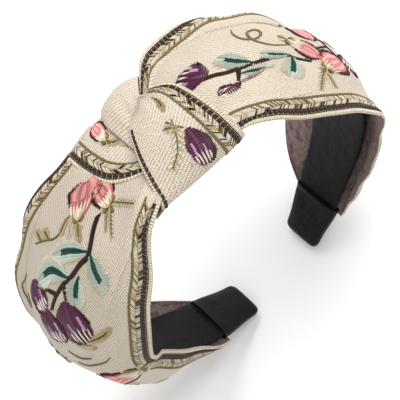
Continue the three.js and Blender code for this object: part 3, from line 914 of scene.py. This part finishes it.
ground = ground_material()
reverse = reverse_material()
satin = satin_material()
plastic = plastic_material()
# Each thread's darker and lighter colour. The mix between them is partly painted shade between the
# thread's ridges and painted highlight on them, partly random tone.
THREAD_COLOURS = {
    "cream": ((172, 158, 134), (236, 228, 212)),
    "gold": ((138, 118, 76), (212, 194, 150)),
    "olive": ((56, 46, 26), (136, 120, 74)),
    "brown": ((24, 14, 8), (64, 44, 30)),
    "coral": ((178, 84, 88), (236, 146, 142)),
    "blush": ((218, 134, 132), (250, 210, 202)),
    "plum": ((46, 12, 34), (118, 52, 92)),
    "lilac": ((132, 72, 118), (232, 196, 226)),
    "mint": ((116, 160, 144), (208, 228, 214)),
    "teal": ((16, 32, 29), (50, 84, 76)),
}
threads = [thread_material(name, srgb(*dark), srgb(*light))
           for name, (dark, light) in THREAD_COLOURS.items()]

for node in ("core_crown", "core_arm_left", "core_arm_right"):
    bpy.data.objects[node].data.materials.clear()
    bpy.data.objects[node].data.materials.append(plastic)

# ---- Ribbon pieces ----


def crossing(piece):
    """Bakes the piece's placement into its mesh."""
    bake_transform(piece)


def cloth_piece(name, sheet, replaces, decorate, layers=()):
    data = cloth_mesh(MeshData(), sheet, RIBBON_THICKNESS)
    for layer in layers:
        cloth_mesh(data, layer, RIBBON_THICKNESS)
    cloth = data.build(name, [ground, reverse])
    stitches = MeshData()
    decorate(stitches, sheet)
    sewn = stitches.build(name + "_embroidery", threads)
    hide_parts(replaces)
    return cloth, sewn


def draw(data, sheet, figures):
    """Sews a list of (function, arguments) figures onto a sheet."""
    for figure, *values in figures:
        figure(data, sheet, *values)


# The figures on each arm. Places are (along, across) the ribbon, in mm.
LEFT_FIGURES = [
    (stem, [(22.5, -6), (27, -6.5), (31, -7.5), (35, -8), (39, -5.6), (45, -3), (50, 0), (55, 1.5),
            (61, 2)], 3, BROWN),
    (stem, [(54, 1.5), (55, 6), (56, 11)], 2, BROWN),
    (stem, [(49, -0.5), (52, -2), (56, -4.5)], 2, BROWN),
    (rosebud, (28.5, 2.5), (17.5, 12), 15.5),
    (rosebud, (18.5, -10.5), (16, 4), 8),
    (sprig, [(18, -9), (21, -11), (24.5, -13.4)], 2.8),
    (sprig, [(18.4, -11), (21.4, -14.4), (25, -17.5)], 2.8),
    (sprig, [(17, -10), (15, -16.5), (13, -24)], 3.2),
    (leaf, (29, 9), (36.5, 9.5), 3, GOLD, OLIVE),
    (leaf, (28, 3), (33, -2.4), 3, GOLD, OLIVE),
    (leaf, (28.6, 6), (35, 4), 2.4, CREAM, GOLD),
    (stem, [(31, 10.5), (35, 10), (39, 12), (42, 16), (47, 21.5)], 1.1, OLIVE),
    (leaf, (41, 14), (40, 20), 2.8, GOLD, OLIVE),
    (leaf, (44, 18), (43, 24), 2.8, GOLD, OLIVE),
    (leaf, (34, -6.8), (43.5, 9), 7.4),
    (leaf, (33.5, -8.5), (41.5, -19.8), 8.6),
    (leaf, (46, -2), (56, 12), 8.6, MINT, TEAL, 0.2),
    (leaf, (43, -6.4), (53.4, -7.6), 8.4),
    (berry, (57.5, 15), (62.8, 4.8), 9.6),
    (berry, (62, 5), (73.4, -2.6), 10.8),
    (berry, (54.4, -2.4), (66.8, -13.6), 12.4),
    (leaf, (67, -13), (56, -22.5), 3.2, GOLD, OLIVE),
    (leaf, (70.5, -9), (68, -17), 2.4, GOLD, CREAM),
    (curl, [(79, -3), (80.4, -7), (77, -13.4)], OLIVE, 1.2),
    (curl, [(86, -4), (85.6, -8), (82, -13), (78, -17.4), (73, -21.4)], OLIVE, 0.9),
    (rosebud, (85.5, -29), (97, -12), 10.4),
    (sprig, [(86, -29), (88.6, -32), (87, -35)], 2.4),
    (sprig, [(87, -28.4), (93, -28.4)], 2.4),
    (stem, [(100, -4), (108, -9), (118, -10), (128, -6), (138, 0)], 2.4, BROWN),
    (leaf, (102, -5.4), (108, -18), 8),
    (leaf, (110, -9), (117, 3), 8),
    (leaf, (121, -9.4), (128, -20), 7),
    (berry, (134, -2), (144, 8), 9),
    (rosebud, (92, 6), (104, 18), 11),
    (curl, [(62, 22), (70, 25), (76, 22), (73, 17), (68, 19)]),
    (sprig, [(109, 17), (114, 20), (121, 20)], 2.6),
]
RIGHT_FIGURES = [
    (stem, [(27.5, -2.5), (31, -4), (34, -5.4), (39, -5.6), (44, -6), (49, -6.8), (54, -7.8),
            (58, -10), (64, -13)], 3, BROWN),
    (stem, [(38, -6), (36.6, -9), (35, -12)], 2, BROWN),
    (stem, [(74, 1.5), (79, 3), (81, 2), (79.6, -2), (76, -3.4), (68, -7)], 1.7, BROWN),
    (stem, [(81, 2.5), (80.4, -4), (82, -10)], 1.7, BROWN),
    (berry, (29.2, -2.2), (21.8, 8.4), 14.6),
    (berry, (35.4, -14.6), (27, -16.6), 8),
    (leaf, (43.5, -5.6), (35.4, 4.6), 7.6),
    (leaf, (37.4, -8.6), (49, -12.4), 6),
    (leaf, (57, -9), (51.6, -19), 7.4),
    (leaf, (57, -8.4), (47, -3.4), 4.6),
    (curl, [(51, 20), (47.6, 13), (48, 8), (51, 5), (54.6, 7), (55, 10.6), (52.4, 11.6),
            (50.2, 8), (50.4, 3), (53, -1), (59, -2.6)], OLIVE, 1.2),
    (rosebud, (74, 17), (73.6, 1), 9.4),
    (rosebud, (61, 0.6), (68.6, -10.6), 9.4),
    (rosebud, (67.6, -17), (80, -11), 12),
    (sprig, [(67, -17), (63, -22), (60, -26.5)], 3),
    (sprig, [(67, -18), (67.4, -26)], 3),
    (sprig, [(74, 17), (70, 20), (66, 22.5)], 3),
    (stem, [(86, 5), (96, 4), (106, -2), (116, -4), (128, -1)], 2.4, BROWN),
    (leaf, (92, 4.6), (98, 15), 8),
    (leaf, (98, 3), (104, -10), 8),
    (leaf, (112, -3.8), (120, 6), 7),
    (berry, (90, -4), (84, -14), 9),
    (berry, (126, -1), (135, 6), 9),
    (rosebud, (103, 8), (113, 17), 11),
    (curl, [(118, -14), (126, -17), (132, -13), (128, -9), (124, -12)]),
]
FRONT_WRAP_FIGURES = [
    (stem, [(12.4, 15), (15, 16.6), (17, 18.4)], 0.9, OLIVE),
    (berry, (17.4, 18.8), (29.4, 16.8), 6.4),
    (sprig, [(12.8, 17), (17.3, 14.7), (21.4, 12), (24.6, 8)], 3.6),
    (leaf, (13.6, 12.4), (16, 16.6), 2.6, GOLD, OLIVE),
    (leaf, (3.6, 19), (9.6, 17), 2.4, GOLD, OLIVE),
]
LOWER_WRAP_FIGURES = [
    (rosebud, (16.6, 13.2), (26.6, 13.8), 5.4),
    (leaf, (16, 13), (11.6, 15.4), 2.2, GOLD, OLIVE),
    (curl, [(11, 14), (6.6, 15.2), (1.8, 14)], GOLD, 0.6),
]


def decorate_left(data, sheet):
    border(data, sheet, 9, 165, -RIBBON_WIDTH / 2, 1)
    border(data, sheet, 16, 165, RIBBON_WIDTH / 2, -1)
    draw(data, sheet, LEFT_FIGURES)


def decorate_right(data, sheet):
    border(data, sheet, 25, 165, -RIBBON_WIDTH / 2, 1)
    border(data, sheet, 8, 165, RIBBON_WIDTH / 2, -1)
    draw(data, sheet, RIGHT_FIGURES)


def decorate_front_wrap(data, sheet):
    end = sheet.a[-1]
    border(data, sheet, 1.5, end - 0.5, FRONT_WRAP["width"], -1)
    border(data, sheet, 6, end - 0.5, 0, 1, share=0.62, parts="sc")
    draw(data, sheet, FRONT_WRAP_FIGURES)


def decorate_lower_wrap(data, sheet):
    border(data, sheet, 0.5, sheet.a[-1] - 0.5, 0, 1)
    draw(data, sheet, LOWER_WRAP_FIGURES)


for wing, sheet, side in (("left", left_wing, -1), ("right", right_wing, 1)):
    pieces = cloth_piece(
        f"ribbon_wing_{wing}", sheet, f"wing_{wing}",
        decorate_left if side < 0 else decorate_right)
    for piece in pieces:
        crossing(piece)

for name, sheet, decorate, flat, layers in (
        ("front", front_wrap, decorate_front_wrap, (0.037, 0.045), [front_fold]),
        ("lower", lower_wrap, decorate_lower_wrap, (0.022, 0.040), [])):
    for piece in cloth_piece(f"ribbon_{name}_wrap", sheet, f"knot_{name}_wrap",
                             decorate, layers):
        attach(piece, "crown")

back = cloth_mesh(MeshData(), back_wrap, RIBBON_THICKNESS).build("ribbon_back_wrap", [ground, reverse])
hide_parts("knot_back_wrap")
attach(back, "crown")

# ---- Satin lining and tip sleeves, and the ribbon's band under the crown ----

LINING_OUT = -1.65
LINING_THICKNESS = 0.8
BAND_OUT = -2.9
SLEEVE_THICKNESS = (5.4, 4.4)
SLEEVE_WALL = 0.9
# The thread at the sleeve's mouth: its place past the seam in mm, its pitch and length in radians.
STITCHES_AT = 2.6
SEAM_STITCH_PITCH = 0.17
SEAM_STITCH_TURN = 0.11


def lining_sheet(side):
    along = np.arange(0, SEAM_AT - 0.4, 1.2)
    share = np.linspace(-1, 1, 41)
    half = lining_half(along) - LINING_THICKNESS / 2
    across = half[:, None] * share
    rolled = 0.55 * np.abs(share) ** 14
    slack = wrinkles(along, across[0], 0.16, 11 if side < 0 else 12) * (1 - share**4)
    out = LINING_OUT + rolled[None] - slack * smoothstep(along, 20, 40)[:, None]
    points = hoop(side, along[:, None], across, out)
    sheet = Sheet(along, share * 16, points)
    return sheet if side < 0 else sheet.flip()


for wing, side in (("left", -1), ("right", 1)):
    lining = cloth_mesh(MeshData(), lining_sheet(side), LINING_THICKNESS, 0, 0).build(
        f"lining_satin_{wing}", [satin])
    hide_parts(f"lining_{wing}", "lining_crown")
    crossing(lining)


def sleeve_piece(side, name, seed):
    """A satin sock: outside from the seam to the closed tip, and a folded rim at its mouth."""
    maker = random.Random(seed)
    turns = np.linspace(0, 2 * math.pi, 56, endpoint=False)
    folds = [(maker.uniform(165, 182), maker.uniform(0, 2 * math.pi), maker.uniform(2.4, 5.0),
              maker.uniform(-0.5, 0.5)) for _ in range(10)]

    def ring(distance, shrink):
        share = (distance - SEAM_AT) / (HOOP_HALF - SEAM_AT)
        half = (SLEEVE_THICKNESS[0] + (SLEEVE_THICKNESS[1] - SLEEVE_THICKNESS[0]) * share) / 2
        past = max(distance - (HOOP_HALF - TIP_ROUNDING), 0) / TIP_ROUNDING
        inset = TIP_ROUNDING * (1 - math.sqrt(max(1 - (0.94 * past) ** 2, 0)))
        wide = float(core_half(distance)) + 1.25 - inset * 0.7 - shrink
        high = half * (1 - 0.45 * past**3) - shrink
        rim = 0.45 * math.exp(-((distance - SEAM_AT - 0.8) / 0.7) ** 2)
        corner = 2 / 3.2
        across = np.sign(np.cos(turns)) * np.abs(np.cos(turns)) ** corner * (wide + rim * 0.4)
        out = np.sign(np.sin(turns)) * np.abs(np.sin(turns)) ** corner * (high + rim)
        swell = np.zeros(len(turns))
        for at, turn, length, amount in folds:
            swell += amount * np.exp(-((distance - at) / length) ** 2) * np.cos(turns * 3 - turn)
        swell *= 0.42 * (1 - past)
        out = out + swell * np.sign(np.sin(turns)) * np.abs(np.sin(turns)) ** 0.5
        return hoop(side, np.full(len(turns), distance), across, out)

    outside = np.concatenate([np.arange(SEAM_AT, 182, 0.55), np.linspace(182, HOOP_HALF, 8)])
    rows = [ring(SEAM_AT + 2.4, SLEEVE_WALL), ring(SEAM_AT + 0.3, SLEEVE_WALL)]
    rows += [ring(distance, 0) for distance in outside]
    points = np.stack(rows)
    count = len(turns)
    length = np.concatenate([[SEAM_AT + 2.4, SEAM_AT + 0.3], outside])
    uv = np.stack(np.broadcast_arrays(length[:, None], turns[None] * 8), -1)
    faces = grid_faces(len(rows), count, wrap=True)
    inside, tip = np.arange(count), np.arange(count)[::-1] + (len(rows) - 1) * count
    if side < 0:
        faces, inside, tip = faces[:, ::-1], inside[::-1], tip[::-1]
    data = MeshData()
    data.add(points, faces, uv, 0)
    for cap in (inside, tip):
        data.more_faces(cap[None], points.reshape(-1, 3), uv.reshape(-1, 2), np.zeros(1, int))
    seam = Sheet(length, turns, points)
    if side < 0:
        seam.flip()
    base = np.arange(0.2, 5.9, SEAM_STITCH_PITCH)
    around = base[:, None] + SEAM_STITCH_TURN * np.linspace(0, 1, 6)
    seam_stitches(data, seam, np.stack(np.broadcast_arrays(SEAM_AT + STITCHES_AT, around), -1))
    return data.build(name, [satin, threads[BROWN]])


def seam_stitches(data, sheet, spines):
    """Short threads that run round the sock near its mouth."""
    for line in spines:
        middle = sheet.place(line[:, 0], line[:, 1], 0.02)
        rise = sheet.place(line[:, 0], line[:, 1], 0.22) - middle
        along = np.gradient(middle, axis=0)
        side = unit(np.cross(along, rise))
        ring = np.stack([middle - side * 0.14, middle + rise, middle + side * 0.14], 1)
        faces = grid_faces(len(line), 3, wrap=True)
        uv = np.stack(np.broadcast_arrays(np.arange(len(line))[:, None], np.arange(3)[None]), -1)
        first, last = np.arange(3), np.arange(3)[::-1] + (len(line) - 1) * 3
        data.add(ring, faces[:, ::-1], uv * 0.2, 1)
        data.more_faces(np.stack([first, last]), ring.reshape(-1, 3), uv.reshape(-1, 2) * 0.2,
                        np.ones(2, int))


for wing, side in (("left", -1), ("right", 1)):
    sleeve = sleeve_piece(side, f"sleeve_satin_{wing}", 20 + side)
    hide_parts(f"tip_sleeve_{wing}")
    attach(sleeve, f"arm_{wing}")


BAND_HALF_LENGTH = 17.6
BAND_HALF_WIDTH = 13.4


def band_sheet():
    a = np.linspace(-BAND_HALF_LENGTH, BAND_HALF_LENGTH, 60)
    b = np.linspace(-BAND_HALF_WIDTH, BAND_HALF_WIDTH, 64)
    past = smoothstep(np.abs(a), 15.4, BAND_HALF_LENGTH)
    pleats = 0.28 * np.sin(b * 1.15 + 0.4) * smoothstep(np.abs(b), 3.6, 6)
    waist = 1 - 0.12 * (1 - (a / BAND_HALF_LENGTH) ** 2)
    along = b[None] * waist[:, None]
    out = BAND_OUT - pleats[None] * (1 - past[:, None]) + 1.2 * past[:, None]
    return Sheet(a, b, hoop(1, along, a[:, None], out))


band = cloth_mesh(MeshData(), band_sheet(), 1.0).build("ribbon_inner_band", [ground, reverse])
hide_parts("knot_inner_band")
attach(band, "crown")

# ---- Camera, floor and light ----


def add_camera():
    elevation, roll = math.radians(61.02), math.radians(48.23)
    azimuth = math.radians(-0.141)
    back = Vector((math.sin(azimuth) * math.cos(elevation),
                   -math.cos(azimuth) * math.cos(elevation), math.sin(elevation)))
    level = (-back).cross(Vector((0, 0, 1))).normalized()
    rise = level.cross(-back)
    image_right = math.cos(roll) * level - math.sin(roll) * rise
    image_up = math.sin(roll) * level + math.cos(roll) * rise
    target = Vector((0.408, 0, -47.675 + CORE_HEIGHT)) * MM
    data = bpy.data.cameras.new("camera")
    data.sensor_width = 36
    data.lens = 119.7
    camera = bpy.data.objects.new("camera", data)
    camera.matrix_world = Matrix.Translation(target + back * 0.46242) @ Matrix(
        (image_right, image_up, back)).transposed().to_4x4()
    bpy.context.scene.collection.objects.link(camera)
    bpy.context.scene.camera = camera


add_camera()

world = bpy.data.worlds.new("studio")
world.use_nodes = True
world.node_tree.nodes["Background"].inputs["Color"].default_value = (1, 1, 1, 1)
world.node_tree.nodes["Background"].inputs["Strength"].default_value = 0.62
bpy.context.scene.world = world


def area_light(name, place, aim, size, power):
    data = bpy.data.lights.new(name, "AREA")
    data.shape = "DISK"
    data.size = size
    data.energy = power
    light = bpy.data.objects.new(name, data)
    light.location = place
    light.rotation_euler = (Vector(aim) - Vector(place)).to_track_quat("-Z", "Y").to_euler()
    bpy.context.scene.collection.objects.link(light)


bpy.context.scene.view_settings.view_transform = "Standard"
area_light("key", (0.42, 0.1, 0.75), (0, 0, -0.05), 1.0, 12)
area_light("fill", (-0.5, -0.6, 0.5), (0, 0, -0.05), 0.8, 2)

FLOOR_REACH = 3.0
FLOOR_GAP = 0.001


def floor_material():
    nodes = Nodes("floor_white", 0.9, specular=0.2)
    return nodes.finish((0.92, 0.92, 0.92, 1), nodes.noise(40, 2.0, uv=False), 0.01)


floor_mesh = bpy.data.meshes.new("floor")
floor_corners = [(x * FLOOR_REACH, y * FLOOR_REACH, cad_low.z - FLOOR_GAP)
                 for x, y in ((-1, -1), (1, -1), (1, 1), (-1, 1))]
floor_mesh.from_pydata(floor_corners, [], [(0, 1, 2, 3)])
floor = bpy.data.objects.new("floor", floor_mesh)
floor_mesh.materials.append(floor_material())
bpy.context.scene.collection.objects.link(floor)
